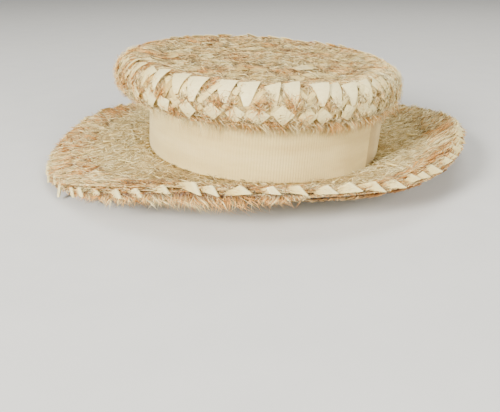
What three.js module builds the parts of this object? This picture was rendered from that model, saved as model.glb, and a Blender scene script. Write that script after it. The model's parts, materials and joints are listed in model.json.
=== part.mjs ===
// A straw boater covered with shaggy plaited braid, in millimetres, +Z up, its front towards -Y.
// The crown is a straight neck under a wide ribbon, with a fat rounded drum of braid above it that
// overhangs the ribbon. The brim is a warped oval dish, its edge bound with folded straw loops.
// Every piece is a coat of some thickness laid on one of two grounds, the crown's or the brim's.
import * as THREE from 'three';
import { mergeVertices } from 'three/addons/utils/BufferGeometryUtils.js';

const TURN = 2 * Math.PI;
const radians = THREE.MathUtils.degToRad;

// The head and the walls round it
const NECK_HALF_WIDTH = 84; // outside of the neck, ear to ear
const NECK_HALF_LENGTH = 98.5; // outside of the neck, front to back
const SHELL_WALL = 2.5;
const BRIM_WALL = 2;
const SEAT_GAP = 0.3; // clearance between pieces that touch

// How the hat settles on a table: it rolls towards the wearer's left, and its back comes up a little
const ROLL_DEG = 4.4;
const DIP_DEG = 0.5;

// The drum sits a little off centre and lower at the back, as the braid was wound by hand
const DRUM_SHIFT = -7;
const DRUM_SLOPE = -0.008;
const DRUM_FOOT = 34.5;
const DRUM_BULGE = 41;

// Angles go round the hat from the wearer's left. Rings of points start at the ribbon's folded end.
const RIBBON_END = radians(-18.75);
const COLUMNS = 48;

// The crown's outside from its foot to the middle of the tip: out from the neck, and height.
// A station is a place in this list, and may lie between two rows.
const CROWN_PROFILE = [
  { place: 'foot of the neck', out: 0, height: -4.3 },
  { place: 'neck', out: 0, height: 16 },
  { place: 'top of the neck', out: 0, height: DRUM_FOOT },
  { place: 'overhang', out: 7, height: 37.5 },
  { place: 'lower bulge', out: 13, height: DRUM_BULGE },
  { place: 'widest', out: 15, height: 47.5 },
  { place: 'upper bulge', out: 13.5, height: 55 },
  { place: 'shoulder', out: 7, height: 59.5 },
  { place: 'top of the roll', out: -2, height: 60 },
  { place: 'sunk edge', out: -13, height: 57.5 },
  { place: 'tip half way', out: -44, height: 57.5 },
  { place: 'tip centre', out: -NECK_HALF_WIDTH, height: 57.5 },
];

// The brim every 45 degrees from the wearer's left towards the back
const BRIM_PROFILE = [
  { side: 'left', width: 56, rise: 24 },
  { side: 'back left', width: 70, rise: 11 },
  { side: 'back', width: 70, rise: -7 },
  { side: 'back right', width: 65, rise: -9 },
  { side: 'right', width: 62, rise: -4 },
  { side: 'front right', width: 72, rise: -13 },
  { side: 'front', width: 70, rise: 15.5 },
  { side: 'front left', width: 71, rise: 20 },
];
const BRIM_SWEEP = 1.5; // power of the curve from the neck to the edge
const BRIM_FOOT = -2; // level of the brim's upper side at the neck

// Folds of the braid round the edge, the drum and the tip, each as a count of columns
const EDGE_COLUMNS = 3 * COLUMNS; // 72 loops of two columns
const DRUM_COLUMNS = 2 * COLUMNS; // 48 folds of two columns

const straw = (name, colour, roughness) =>
  new THREE.MeshStandardMaterial({ name, color: new THREE.Color(colour), roughness, metalness: 0 });
const BARE_STRAW = straw('bare_straw', '#cdb88c', 0.75);
const IVORY_STRAW = straw('ivory_straw', '#ece3cb', 0.4);
const HAIR_STRAW = straw('hair_straw', '#cdb592', 0.8);
const PEACH_STRAW = straw('peach_straw', '#d6ae86', 0.8);
const RIBBON = straw('ribbon', '#d5c6ab', 0.85);

// A repeatable number from 0 to 1 for each lock or fold
function scatter(index, salt = 0) {
  const wave = Math.sin(index * 12.9898 + salt * 78.233) * 43758.5453;
  return wave - Math.floor(wave);
}

const neckRadius = (angle) =>
  1 / Math.hypot(Math.cos(angle) / NECK_HALF_WIDTH, Math.sin(angle) / NECK_HALF_LENGTH);

// A point of the crown. Inside the neck's line, rings shrink towards the tip's centre.
function crownPoint(angle, out, height) {
  const neck = neckRadius(angle);
  const reach = out > 0 ? neck + out : neck * (1 + out / NECK_HALF_WIDTH);
  const drum = THREE.MathUtils.smoothstep(height, DRUM_FOOT, DRUM_BULGE);
  const y = reach * Math.sin(angle);
  return new THREE.Vector3(
    reach * Math.cos(angle) + DRUM_SHIFT * drum,
    y,
    height + DRUM_SLOPE * y * drum,
  );
}

const crownCurve = new THREE.SplineCurve(
  CROWN_PROFILE.map((row) => new THREE.Vector2(row.out, row.height)),
);

function crownGround(angle, station) {
  const share = THREE.MathUtils.clamp(station / (CROWN_PROFILE.length - 1), 0, 1);
  const { x: out, y: height } = crownCurve.getPoint(share);
  return crownPoint(angle, out, height);
}

const brimCurve = new THREE.CatmullRomCurve3(
  BRIM_PROFILE.map((row) => new THREE.Vector3(row.width, row.rise, 0)),
  true,
  'catmullrom',
);

function brimAt(angle) {
  const { x: width, y: rise } = brimCurve.getPoint(THREE.MathUtils.euclideanModulo(angle / TURN, 1));
  return { width, rise };
}

// A point on the brim's upper side, across running from 0 at the neck to 1 at the edge
function brimGround(angle, across) {
  const { width, rise } = brimAt(angle);
  const reach = neckRadius(angle) + SEAT_GAP + width * across;
  return new THREE.Vector3(
    reach * Math.cos(angle),
    reach * Math.sin(angle),
    BRIM_FOOT + (rise - BRIM_FOOT) * Math.max(across, 0) ** BRIM_SWEEP,
  );
}

// A point at some height above a ground, along its normal. The crown's normal points outwards and
// the brim's upwards.
function above(ground, angle, along, height) {
  const step = 0.002;
  const at = ground(angle, along);
  const round = ground(angle + step, along).sub(ground(angle - step, along));
  const on = ground(angle, along + step).sub(ground(angle, along - step));
  // At the centre of the tip the ring has shrunk to a point
  if (round.length() < 1e-6) return at.add(new THREE.Vector3(0, 0, height));
  const normal = ground === crownGround ? round.cross(on) : on.cross(round);
  return at.addScaledVector(normal.normalize(), height);
}

// Merges the shared vertices of a mesh, drops its flat triangles and turns its faces outwards
function closed(geometry) {
  geometry.deleteAttribute('normal');
  geometry.deleteAttribute('uv');
  const solid = mergeVertices(geometry, 1e-4);
  const place = solid.attributes.position;
  const [a, b, c] = [new THREE.Vector3(), new THREE.Vector3(), new THREE.Vector3()];
  const kept = [];
  let volume = 0;
  for (let i = 0; i < solid.index.count; i += 3) {
    const corners = [0, 1, 2].map((k) => solid.index.getX(i + k));
    if (new Set(corners).size < 3) continue;
    kept.push(corners);
    a.fromBufferAttribute(place, corners[0]);
    b.fromBufferAttribute(place, corners[1]);
    c.fromBufferAttribute(place, corners[2]);
    volume += a.dot(b.cross(c));
  }
  solid.setIndex(kept.flatMap(([p, q, r]) => (volume > 0 ? [p, q, r] : [p, r, q])));
  solid.computeVertexNormals();
  return solid;
}

// Rolls a sheet of quads into a closed ring: columns run round the hat, rows round the section
function ring(columns, rows, pointAt) {
  const sheet = new THREE.PlaneGeometry(1, 1, columns, rows);
  const place = sheet.attributes.position;
  for (let i = 0; i < place.count; i++) {
    const column = (i % (columns + 1)) % columns;
    const row = Math.floor(i / (columns + 1)) % rows;
    const point = pointAt(column, row, RIBBON_END + (column / columns) * TURN);
    place.setXYZ(i, point.x, point.y, point.z);
  }
  return closed(sheet);
}

// A coat on a ground: its upper side goes through the over stations at a height that may change
// from column to column, and its under side comes back through the under stations
function coat({ ground, columns, over, height, under, bed }) {
  return ring(columns, over.length + under.length, (column, row, angle) => {
    if (row < over.length) return above(ground, angle, over[row], height(column, row));
    return above(ground, angle, under[row - over.length], bed);
  });
}

// The foundation: one thin shell, open below, from the foot of the neck over the drum to the tip
function crown() {
  return coat({
    ground: crownGround,
    columns: COLUMNS,
    over: [0, 1, 2, 3, 4.1, 5.33, 6.64, 7.45, 8.3, 8.8, 9.5, 11],
    height: () => 0,
    under: [11, 10, 9, 8.2, 6.9, 5.3, 3.4, 1.9, 0],
    bed: -SHELL_WALL,
  });
}

// The brim's foundation: a thin oval dish round the neck
function brim() {
  return coat({
    ground: brimGround,
    columns: COLUMNS,
    over: [0, 0.08, 0.35, 0.7, 1],
    height: () => 0,
    under: [1, 0.7, 0.35, 0],
    bed: -BRIM_WALL,
  });
}

// A grosgrain ribbon wrapped once round the neck, its folded end lying over its start
function hatBand() {
  const thick = 1;
  const foot = -1;
  const top = 34.2;
  const column = TURN / COLUMNS;
  const overlap = 2 * column;
  const climb = 2 * column; // where the end steps up onto the start
  const sweep = TURN + overlap;
  const strip = new THREE.BoxGeometry(1, 1, 1, COLUMNS + 2, 1, 1);
  const place = strip.attributes.position;
  for (let i = 0; i < place.count; i++) {
    const before = (0.5 - place.getX(i)) * sweep; // angle back from the folded end
    const angle = RIBBON_END - before;
    const onto = 1 - THREE.MathUtils.smoothstep(before, overlap, overlap + climb);
    const out = SEAT_GAP + onto * (thick + SEAT_GAP) + (place.getZ(i) + 0.5) * thick;
    const point = crownPoint(angle, out, foot + (place.getY(i) + 0.5) * (top - foot));
    place.setXYZ(i, point.x, point.y, point.z);
  }
  return closed(strip);
}

// Long straw hair over the upper side of the brim, in locks combed outwards
function brimPile() {
  const floor = [1.2, 2.1, 2.1, 1.4];
  const locks = [0.4, 1.6, 1.8, 0.8];
  return coat({
    ground: brimGround,
    columns: 2 * COLUMNS,
    over: [0.08, 0.35, 0.7, 0.985],
    height: (column, row) => floor[row] + locks[row] * (column % 2) * (0.4 + 0.6 * scatter(column, row)),
    under: [0.985, 0.7, 0.35, 0.08],
    bed: 1.5 * SEAT_GAP,
  });
}

// Flat straw folded into loops that stand round the edge of the brim, one bright fold to a loop
function brimEdgePlait() {
  const section = [
    { out: 0.3, up: -2.4, fold: 0 },
    { out: 0.3, up: 2.4, fold: 0 },
    { out: 1.9, up: 3.4, fold: 1 },
    { out: 2.4, up: -3.6, fold: 1 },
  ];
  return ring(EDGE_COLUMNS, section.length, (column, row, angle) => {
    const { out, up, fold } = section[row];
    const push = fold * (column % 2) * (1 + scatter(column, row));
    return above(brimGround, angle, 1 + (out + push) / brimAt(angle).width, up);
  });
}

// Hair that hangs from under the edge loops, in locks on a plain backing. It is longest at the
// front, just on the wearer's left of the middle.
const FRINGE_FRONT = radians(-92);
function brimFringe() {
  const section = [
    { out: -15, up: -2.3, lock: 0 },
    { out: -1, up: -2.3, lock: 0 },
    { out: 2.6, up: -4, lock: 0 },
    { out: 3.4, up: -4.7, lock: 1 },
    { out: -12, up: -3.9, lock: 0.3 },
  ];
  return ring(DRUM_COLUMNS, section.length, (column, row, angle) => {
    const { out, up, lock } = section[row];
    const { width } = brimAt(angle);
    const longest = 0.5 + 4.2 * THREE.MathUtils.smoothstep(Math.cos(angle - FRINGE_FRONT), 0.9, 0.985);
    const free = lock * (column % 2) * (0.4 + 0.6 * scatter(column));
    return above(brimGround, angle, 1 + (out + free) / width, up - free * longest);
  });
}

// A row of flat straw folded to and fro round the drum. Its folds turn over from one end of the
// row to the other, so that each bright face is a triangle standing on its point.
function drumPlait(from, to, salt) {
  return coat({
    ground: crownGround,
    columns: DRUM_COLUMNS,
    over: [from, (from + to) / 2, to],
    height: (column, row) => {
      const bright = (column + salt) % 2 === 1;
      const size = 0.7 + 0.3 * scatter(column, salt);
      return bright ? 0.9 + [0.3, 1.6, 2.2][row] * size : 0.9 + [1, 0.4, 0.3][row] * size;
    },
    under: [to, from],
    bed: SEAT_GAP,
  });
}

// Hair that hangs from under the drum over the top of the ribbon
function drumFringeLower() {
  const section = [
    { out: 5, height: 35.4, lock: 0 },
    { out: 13.4, height: 40.1, lock: 0 },
    { out: 15, height: 38.7, lock: 0 },
    { out: 9.5, height: 34.3, lock: 1 },
  ];
  return ring(DRUM_COLUMNS, section.length, (column, row, angle) => {
    const { out, height, lock } = section[row];
    const free = lock * (column % 2) * (0.4 + 0.6 * scatter(column, 2));
    return crownPoint(angle, out - free, height - 3 * free);
  });
}

// Hair over the drum's shoulder and the roll round the tip
function drumFringeUpper() {
  return coat({
    ground: crownGround,
    columns: DRUM_COLUMNS,
    over: [6.72, 7.45, 8.22],
    height: (column, row) => {
      const locks = [1, 2, 0.8][row];
      return 1 + locks * (column % 2) * (0.3 + 0.7 * scatter(column, row));
    },
    under: [8.22, 7.45, 6.72],
    bed: SEAT_GAP,
  });
}

// Hair over the tip, lying flat where the rings of plait are, with a tuft at the centre
const TIP_BED = 1.6;
function tipPile() {
  const tuft = [-0.6, 0, 0, 0, 1.1, 0.6];
  return coat({
    ground: crownGround,
    columns: COLUMNS,
    over: [8.38, 8.8, 9.5, 10.15, 10.55, 11],
    height: (column, row) => TIP_BED + tuft[row] * (row === 4 ? column % 2 : 1),
    under: [11, 9.5, 8.38],
    bed: SEAT_GAP,
  });
}

// Lozenges of flat straw lying on the tip's hair, in a ring
function tipPlait(from, to, salt) {
  return coat({
    ground: crownGround,
    columns: COLUMNS,
    over: [from, (from + to) / 2, to],
    height: (column, row) => {
      const bright = (column % 2) * (0.7 + 0.5 * scatter(column, salt));
      return TIP_BED + 1.1 + bright * [0.3, 1.2, 0.3][row];
    },
    under: [to, from],
    bed: TIP_BED + SEAT_GAP,
  });
}

const hat = new THREE.Group();
function add(name, geometry, material) {
  const mesh = new THREE.Mesh(geometry, material);
  mesh.name = name;
  hat.add(mesh);
}

add('crown', crown(), BARE_STRAW);
add('brim', brim(), BARE_STRAW);
add('hat_band', hatBand(), RIBBON);
add('brim_pile', brimPile(), HAIR_STRAW);
add('brim_edge_plait', brimEdgePlait(), IVORY_STRAW);
add('brim_fringe', brimFringe(), PEACH_STRAW);
add('drum_plait_lower', drumPlait(4.13, 5.29, 0), IVORY_STRAW);
add('drum_plait_upper', drumPlait(5.37, 6.6, 1), IVORY_STRAW);
add('drum_fringe_lower', drumFringeLower(), PEACH_STRAW);
add('drum_fringe_upper', drumFringeUpper(), PEACH_STRAW);
add('tip_pile', tipPile(), HAIR_STRAW);
add('tip_plait_outer', tipPlait(8.95, 9.4, 0), IVORY_STRAW);
add('tip_plait_inner', tipPlait(9.8, 10.1, 1), IVORY_STRAW);

// Settle the hat on the table, with the middle of its footprint at the origin
hat.rotation.set(radians(DIP_DEG), radians(ROLL_DEG), 0);
const space = new THREE.Box3().setFromObject(hat, true);
const middle = space.getCenter(new THREE.Vector3());
hat.position.set(-middle.x, -middle.y, -space.min.z);

export default hat;
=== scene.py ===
"""A shaggy straw boater, dressed round its fixed frame.

Everything is shaped in millimetres in the hat's own frame, where the middle of the crown's opening is
the origin, -Y is the front, +X the wearer's left and Z goes up the crown. The last step settles each
piece on the table, where the frame has it.
"""

import json
import math

import bpy
import numpy as np
from mathutils import Euler, Matrix, Vector


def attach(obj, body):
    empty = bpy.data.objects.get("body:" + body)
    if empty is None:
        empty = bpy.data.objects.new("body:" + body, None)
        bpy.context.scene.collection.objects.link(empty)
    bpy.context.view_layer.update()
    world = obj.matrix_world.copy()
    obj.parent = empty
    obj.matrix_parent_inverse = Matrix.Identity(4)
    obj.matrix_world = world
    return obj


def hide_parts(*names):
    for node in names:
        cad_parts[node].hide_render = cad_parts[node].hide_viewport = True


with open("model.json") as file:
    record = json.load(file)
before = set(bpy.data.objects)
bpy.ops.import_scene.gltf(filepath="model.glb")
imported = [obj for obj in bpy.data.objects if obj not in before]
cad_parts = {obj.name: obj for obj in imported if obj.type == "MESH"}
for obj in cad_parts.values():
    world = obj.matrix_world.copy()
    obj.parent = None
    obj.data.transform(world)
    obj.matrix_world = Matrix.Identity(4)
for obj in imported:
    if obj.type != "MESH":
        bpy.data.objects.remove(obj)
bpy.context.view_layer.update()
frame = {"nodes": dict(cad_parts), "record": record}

TURN = 2 * math.pi
MM = 0.001
random = np.random.default_rng(1911)

# The frame's driving sizes, in millimetres
NECK_HALF_WIDTH = 84
NECK_HALF_LENGTH = 98.5
SEAT_GAP = 0.3
ROLL_DEG = 4.4
DIP_DEG = 0.5
DRUM_SHIFT = -7
DRUM_SLOPE = -0.008
DRUM_FOOT = 34.5
DRUM_BULGE = 41
TIP_LEVEL = 57.5

# The crown's outside, out from the neck and height, from the foot of the neck to the tip's centre.
# A station is a place in this list, and may lie between two rows.
CROWN_PROFILE = np.array([
    (0, -4.3),
    (0, 16),
    (0, DRUM_FOOT),
    (7, 37.5),
    (13, DRUM_BULGE),
    (15, 47.5),
    (13.5, 55),
    (7, 59.5),
    (-2, 60),
    (-13, TIP_LEVEL),
    (-44, TIP_LEVEL),
    (-NECK_HALF_WIDTH, TIP_LEVEL),
])
STATION_MM = 7.5  # from one row of the profile to the next, over the drum
DRUM_REACH = 107  # from the axis to the drum's side, on average

# The brim's width and the rise of its edge, every 45 degrees from the wearer's left to the back
BRIM_PROFILE = np.array([
    (56, 24),
    (70, 11),
    (70, -7),
    (65, -9),
    (62, -4),
    (72, -13),
    (70, 15.5),
    (71, 20),
])
BRIM_SWEEP = 1.5
BRIM_FOOT = -2
BRIM_UNDERSIDE = -2.2

# The ribbon, and where its folded end lies
RIBBON_FOOT = -1.6
RIBBON_TOP = 34.2
RIBBON_THICK = 0.7
RIBBON_SLACK = 0.25
RIBBON_LIFT = 1.1 + SEAT_GAP  # how far its end stands off its start
RIBBON_END = math.radians(-18.75)
RIBBON_OVERLAP = math.radians(15)
FOLD_BACK = math.radians(3.5)  # how far the folded end lies back from the frame's end

# The straw folded round the drum and along the edge
FOLDS = 48
EDGE_LOOPS = 72
STRAW_THICK = 0.3
MATTING_THICK = 0.5
LOOP_HALF = 2.8  # half the width of the straw in a loop
LOOP_SLANT = -0.85  # how far each loop's fold leans, to each millimetre up

# The bend of one loop, from its tucked end over the fold and back under itself
LOOP_BEND = [
    {"along": -7.4, "proud": -0.7},
    {"along": -4.8, "proud": 0.3},
    {"along": -2.2, "proud": 1.1},
    {"along": 0.4, "proud": 1.8},
    {"along": 2.2, "proud": 2.3},
    {"along": 3.2, "proud": 2.3},
    {"along": 3.7, "proud": 1.6},
    {"along": 3.0, "proud": 0.6},
    {"along": 0.6, "proud": 0.1},
]

# Bare straws lying on the brim: angle and place across it, length, and heading in degrees
BARE_STRAWS = [
    {"angle": 211, "across": 0.42, "length": 10, "heading": 36},
    {"angle": 218, "across": 0.64, "length": 9, "heading": 70},
    {"angle": 233, "across": 0.65, "length": 12, "heading": 66},
    {"angle": 236, "across": 0.35, "length": 14, "heading": -8},
    {"angle": 257, "across": 0.49, "length": 13, "heading": -34},
    {"angle": 313, "across": 0.16, "length": 15, "heading": 79},
    {"angle": 204, "across": 0.41, "length": 8, "heading": 39},
    {"angle": 285, "across": 0.5, "length": 10, "heading": 20},
    {"angle": 338, "across": 0.4, "length": 12, "heading": -20},
    {"angle": 20, "across": 0.5, "length": 11, "heading": 15},
    {"angle": 64, "across": 0.45, "length": 12, "heading": 80},
    {"angle": 97, "across": 0.55, "length": 10, "heading": 120},
    {"angle": 131, "across": 0.4, "length": 13, "heading": 160},
    {"angle": 165, "across": 0.5, "length": 11, "heading": 170},
]

# Stretches of the hat that differ from the rest. middle is an angle in degrees. The stretch fades out
# where the cosine of the angle from there falls to ends, and holds in full where it passes full.
FRONT_DEG = -76
STRETCHES = {
    "browner front": {"middle": FRONT_DEG, "ends": 0.7, "full": 0.95},
    # Painted light: the wearer's left side is drawn paler, as if more brightly lit
    "painted lit side": {"middle": 0, "ends": 0.3, "full": 0.9},
    "slivers of loops": {"middle": 207, "ends": 0.93, "full": 0.99},
    "bare loops": {"middle": 350, "ends": 0.6, "full": 0.95},
    "hanging edge": {"middle": 250, "ends": 0.94, "full": 0.995},
    "close trimmed edge": {"middle": -50, "ends": 0.8, "full": 0.97},
    "long fringe": {"middle": -92, "ends": 0.88, "full": 0.975},
    "short fringe": {"middle": -35, "ends": 0.6, "full": 0.9},
    "thin fringe": {"middle": 225, "ends": 0.93, "full": 0.98},
    "veil over the ribbon": {"middle": 238, "ends": 0.72, "full": 0.95},
}

# The mount on the inner side of the tip ties the hat's own frame to the frame of the row
SEAT = Vector((15, -5, 55.04))
LEAN = Euler((math.radians(DIP_DEG), math.radians(ROLL_DEG), 0)).to_matrix()
seat_in_row = next(m for m in frame["record"]["mounts"] if m["name"] == "stand_seat")["pos_m"]
SHIFT = Vector(seat_in_row) - LEAN @ SEAT * MM
SETTLE = Matrix.Translation(SHIFT) @ LEAN.to_4x4() @ Matrix.Scale(MM, 4)
TABLE_CLEARANCE = 0.0002


# The grounds that straw lies on


def smoothstep(value, start, end):
    share = np.clip((value - start) / (end - start), 0, 1)
    return share * share * (3 - 2 * share)


def spline(rows, where):
    """A smooth curve through rows, at a place counted in rows from the second row."""
    start = np.clip(np.floor(where).astype(int), 0, len(rows) - 4)
    share = (where - start)[:, None]
    a, b, c, d = (rows[start + k] for k in range(4))
    slope_b = (c - a) / 2
    slope_c = (d - b) / 2
    return (
        (2 * b - 2 * c + slope_b + slope_c) * share**3
        + (3 * c - 3 * b - 2 * slope_b - slope_c) * share**2
        + slope_b * share
        + b
    )


def neck_radius(angle):
    return 1 / np.hypot(np.cos(angle) / NECK_HALF_WIDTH, np.sin(angle) / NECK_HALF_LENGTH)


def crown_point(angle, out, height):
    """A point by its distance out from the neck. Inside the neck, rings shrink to the centre."""
    neck = neck_radius(angle)
    reach = np.where(out > 0, neck + out, neck * (1 + out / NECK_HALF_WIDTH))
    drum = smoothstep(height, DRUM_FOOT, DRUM_BULGE)
    x = reach * np.cos(angle)
    y = reach * np.sin(angle)
    return np.stack([x + DRUM_SHIFT * drum, y, height + DRUM_SLOPE * y * drum], axis=-1)


CROWN_ROWS = np.concatenate([CROWN_PROFILE[:1], CROWN_PROFILE, CROWN_PROFILE[-1:]])
BRIM_ROWS = np.concatenate([BRIM_PROFILE[-1:], BRIM_PROFILE, BRIM_PROFILE[:2]])


def crown_ground(angle, station):
    profile = spline(CROWN_ROWS, np.clip(station, 0, len(CROWN_PROFILE) - 1))
    return crown_point(angle, profile[:, 0], profile[:, 1])


def brim_at(angle):
    """The width of the brim and the rise of its edge."""
    row = spline(BRIM_ROWS, (angle / TURN) % 1 * len(BRIM_PROFILE))
    return row[:, 0], row[:, 1]


def brim_ground(angle, across):
    width, rise = brim_at(angle)
    reach = neck_radius(angle) + SEAT_GAP + width * across
    height = BRIM_FOOT + (rise - BRIM_FOOT) * np.maximum(across, 0) ** BRIM_SWEEP
    return np.stack([reach * np.cos(angle), reach * np.sin(angle), height], axis=-1)


def unit(vectors):
    return vectors / np.maximum(np.linalg.norm(vectors, axis=-1, keepdims=True), 1e-9)


def above(ground, angle, along, height):
    """Points at some height above a ground, along its outward or upward normal."""
    step = 0.002
    round_way = ground(angle + step, along) - ground(angle - step, along)
    on_way = ground(angle, along + step) - ground(angle, along - step)
    normal = np.cross(round_way, on_way)
    if ground is brim_ground:
        normal = -normal
    return ground(angle, along) + unit(normal) * np.asarray(height)[..., None]


def within(stretch, angle):
    """How much of a stretch holds at an angle, from 0 to 1."""
    row = STRETCHES[stretch]
    return smoothstep(np.cos(angle - math.radians(row["middle"])), row["ends"], row["full"])


def shagginess(angle):
    """How much the drum's hair hides its plait: most at the two sides."""
    return smoothstep(0.5 - 0.5 * np.cos(2 * (angle - math.radians(FRONT_DEG))), 0.3, 0.95)


def wander(angle, salt, waves=(5, 11, 23, 41)):
    """A smooth irregular value from about -1 to 1. With whole waves it closes once round the hat."""
    total = sum(np.sin(angle * k + salt * (k + 1.7)) / (1 + 0.3 * i) for i, k in enumerate(waves))
    return total / 2


def stain(angle):
    """Clouds of peach along the edge, from 0 to 1."""
    cloud = 0.62 * wander(angle, 2.1, (3, 7, 13, 29))
    return share_of(0.5 + 0.3 * within("browner front", angle) + cloud)


def share_of(value):
    return np.clip(value, 0, 1)


def spread(count, low_value, high_value):
    return random.uniform(low_value, high_value, count)


# Building and finishing pieces


def new_piece(name, mesh):
    piece = bpy.data.objects.new(name, mesh)
    bpy.context.scene.collection.objects.link(piece)
    return piece


def select_only(piece):
    bpy.ops.object.select_all(action="DESELECT")
    piece.select_set(True)
    bpy.context.view_layer.objects.active = piece


def points_of(mesh):
    points = np.empty(len(mesh.vertices) * 3)
    mesh.vertices.foreach_get("co", points)
    return points.reshape(-1, 3)


def corners_of(mesh):
    corners = np.empty(len(mesh.loops), dtype=np.int32)
    mesh.loops.foreach_get("vertex_index", corners)
    return corners


def set_points(mesh, points):
    mesh.vertices.foreach_set("co", np.ascontiguousarray(points, dtype=np.float64).ravel())
    mesh.update()


def set_attribute(mesh, name, values):
    mesh.attributes.new(name, "FLOAT", "POINT").data.foreach_set("value", values.astype(np.float32))


def set_map(mesh, name, places):
    layer = mesh.uv_layers.new(name=name)
    layer.data.foreach_set("uv", places.ravel().astype(np.float32))


def mesh_of(name, points, *groups):
    """A mesh from points and from arrays of faces, each array with its own number of corners."""
    corners = np.concatenate([faces.ravel() for faces in groups]).astype(np.int32)
    counts = np.concatenate([np.full(len(faces), faces.shape[1]) for faces in groups])
    starts = np.concatenate([[0], np.cumsum(counts)[:-1]]).astype(np.int32)
    mesh = bpy.data.meshes.new(name)
    mesh.vertices.add(len(points))
    set_points(mesh, points)
    mesh.loops.add(len(corners))
    mesh.loops.foreach_set("vertex_index", corners)
    mesh.polygons.add(len(counts))
    mesh.polygons.foreach_set("loop_start", starts)
    mesh.update(calc_edges=True)
    return mesh


def flat_grid(name, columns, rows):
    """A grid from -1 to 1 both ways, ready to be bent to a shape."""
    bpy.ops.object.select_all(action="DESELECT")
    bpy.ops.mesh.primitive_grid_add(x_subdivisions=columns, y_subdivisions=rows, size=2)
    grid = bpy.context.object
    grid.name = name
    return grid


def close_skin(piece, make_quads=False):
    """Merges the points of a skin that meet, and turns its faces outwards."""
    select_only(piece)
    bpy.ops.object.mode_set(mode="EDIT")
    bpy.ops.mesh.select_all(action="SELECT")
    bpy.ops.mesh.remove_doubles(threshold=0.01)
    if make_quads:
        widest = math.radians(60)
        bpy.ops.mesh.tris_convert_to_quads(face_threshold=widest, shape_threshold=math.radians(80))
    bpy.ops.mesh.normals_make_consistent(inside=False)
    bpy.ops.object.mode_set(mode="OBJECT")


def thicken(piece, thickness, offset):
    """Gives a skin a wall, outwards where offset is 1, inwards where it is -1, or half and half."""
    wall = piece.modifiers.new("wall", "SOLIDIFY")
    wall.thickness = thickness
    wall.offset = offset
    bpy.ops.object.modifier_apply(modifier=wall.name)


def finish_piece(piece, material, replaced=()):
    """Settles a piece on the table and ties it to the frame."""
    piece.data.transform(SETTLE)
    points = points_of(piece.data)
    points[:, 2] = np.maximum(points[:, 2], TABLE_CLEARANCE)
    set_points(piece.data, points)
    piece.data.materials.clear()
    piece.data.materials.append(material)
    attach(piece, "root")
    if replaced:
        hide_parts(*replaced)


# Straw and ribbon finishes


def linear(code):
    """The linear red, green and blue of a colour written as #rrggbb."""
    parts = [int(code[k:k + 2], 16) / 255 for k in (1, 3, 5)]
    return [v / 12.92 if v <= 0.04045 else ((v + 0.055) / 1.055) ** 2.4 for v in parts]


class Finish:
    """A node material with a few shorthands for its links."""

    def __init__(self, name, roughness, specular=0.4, sheen=0.0, coat=0.0):
        self.material = bpy.data.materials.new(name)
        self.material.use_nodes = True
        self.tree = self.material.node_tree
        self.shader = self.tree.nodes["Principled BSDF"]
        self.shader.inputs["Roughness"].default_value = roughness
        self.shader.inputs["Specular IOR Level"].default_value = specular
        self.shader.inputs["Sheen Weight"].default_value = sheen
        self.shader.inputs["Sheen Roughness"].default_value = 0.6
        self.shader.inputs["Coat Weight"].default_value = coat

    def node(self, kind, **values):
        made = self.tree.nodes.new(kind)
        for key, value in values.items():
            setattr(made, key, value)
        return made

    def link(self, source, target):
        self.tree.links.new(source, target)

    def feed(self, value, socket):
        """Gives a socket a number, a colour or another node's output."""
        if isinstance(value, (int, float)):
            socket.default_value = value
        elif isinstance(value, str):
            socket.default_value = (*linear(value), 1)
        else:
            self.link(value, socket)

    def attribute(self, name):
        return self.node("ShaderNodeAttribute", attribute_name=name).outputs["Fac"]

    def space(self, kind, scale=(1, 1, 1)):
        """The Object or UV coordinates, scaled."""
        mapping = self.node("ShaderNodeMapping")
        mapping.inputs["Scale"].default_value = scale
        self.link(self.node("ShaderNodeTexCoord").outputs[kind], mapping.inputs["Vector"])
        return mapping.outputs["Vector"]

    def noise(self, vector, scale=1.0, detail=3.0, rough=0.55):
        made = self.node("ShaderNodeTexNoise")
        made.inputs["Scale"].default_value = scale
        made.inputs["Detail"].default_value = detail
        made.inputs["Roughness"].default_value = rough
        self.link(vector, made.inputs["Vector"])
        return made.outputs["Fac"]

    def bands(self, vector, direction, distortion):
        made = self.node("ShaderNodeTexWave", wave_type="BANDS", bands_direction=direction)
        made.inputs["Scale"].default_value = 1.0
        made.inputs["Distortion"].default_value = distortion
        self.link(vector, made.inputs["Vector"])
        return made.outputs["Fac"]

    def ramp(self, value, stops):
        made = self.node("ShaderNodeValToRGB")
        for _ in range(len(stops) - 2):
            made.color_ramp.elements.new(0.5)
        for element, (place, colour) in zip(made.color_ramp.elements, stops):
            element.position = place
            element.color = (*linear(colour), 1)
        self.link(value, made.inputs["Fac"])
        return made.outputs["Color"]

    def mix(self, share, first, second, blend="MIX"):
        made = self.node("ShaderNodeMix", data_type="RGBA", blend_type=blend)
        for value, name in ((share, "Factor"), (first, "A"), (second, "B")):
            self.feed(value, next(s for s in made.inputs if s.name == name and s.enabled))
        return next(s for s in made.outputs if s.enabled)

    def math(self, kind, first, second):
        made = self.node("ShaderNodeMath", operation=kind)
        self.feed(first, made.inputs[0])
        self.feed(second, made.inputs[1])
        return made.outputs[0]

    def tinted(self, pattern, strength, base, tint):
        """The base with some tint where the pattern is strong."""
        return self.mix(self.math("MULTIPLY", pattern, strength), base, tint)

    def bump(self, height, distance, strength):
        made = self.node("ShaderNodeBump")
        made.inputs["Strength"].default_value = strength
        made.inputs["Distance"].default_value = distance
        self.link(height, made.inputs["Height"])
        self.link(made.outputs["Normal"], self.shader.inputs["Normal"])

    def colour(self, value):
        self.link(value, self.shader.inputs["Base Color"])


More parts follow.
